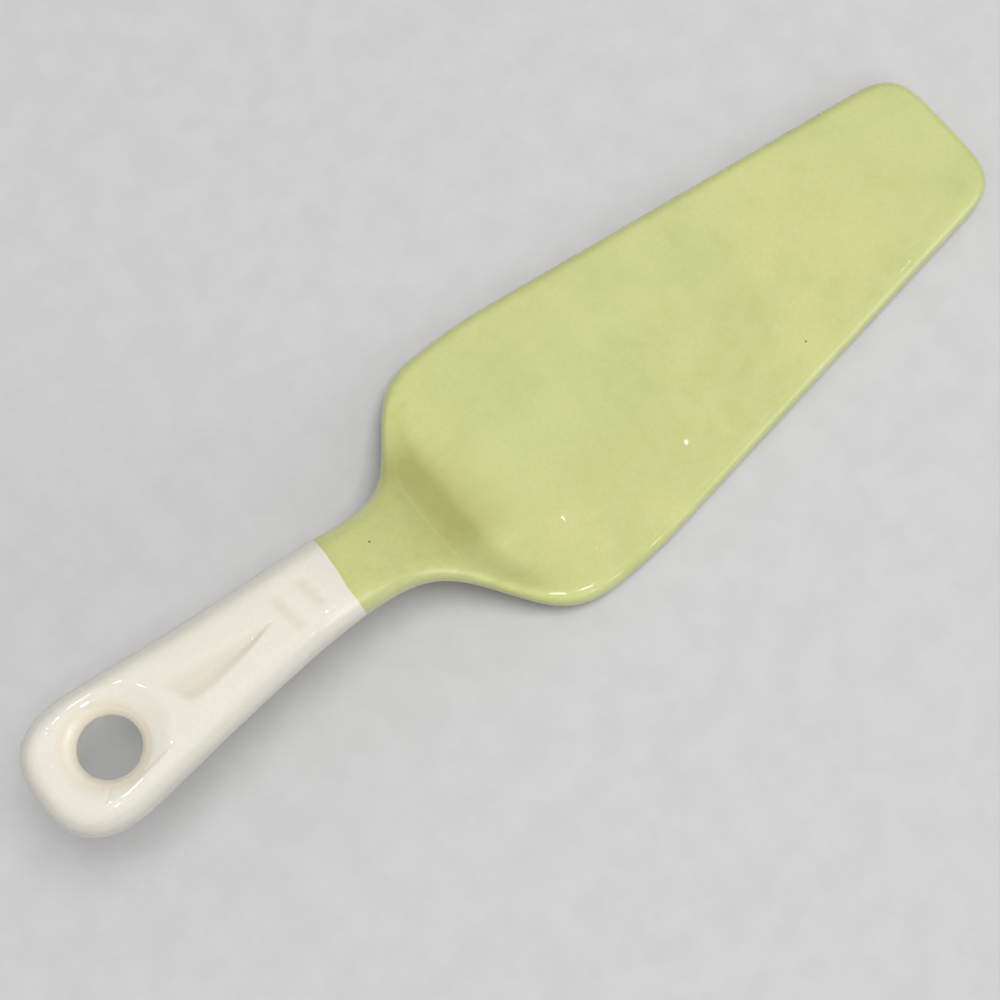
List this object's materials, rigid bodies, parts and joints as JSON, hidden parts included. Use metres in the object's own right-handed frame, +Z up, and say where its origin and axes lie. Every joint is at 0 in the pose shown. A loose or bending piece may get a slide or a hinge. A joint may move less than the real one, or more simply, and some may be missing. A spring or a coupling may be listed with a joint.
{
  "type": "cake server",
  "caption": "Glazed pottery cake server with a flat tapering blade, a hollowed rising neck and a raised handle with a hanging hole.",
  "frame": {"origin": "under the middle of the length, on the table plane that the blade lies on", "axes": "+X from the handle's end towards the blade's tip, +Y across to the left, +Z up from the table"},
  "size_m": [0.235, 0.0648, 0.0383],
  "materials": {
    "clay": "matte",
    "green_glaze": "gloss",
    "cream_glaze": "gloss"
  },
  "bodies": {
    "root": {"clay_body": "clay", "blade_glaze": "green_glaze", "handle_glaze": "cream_glaze"}
  },
  "joints": []
}
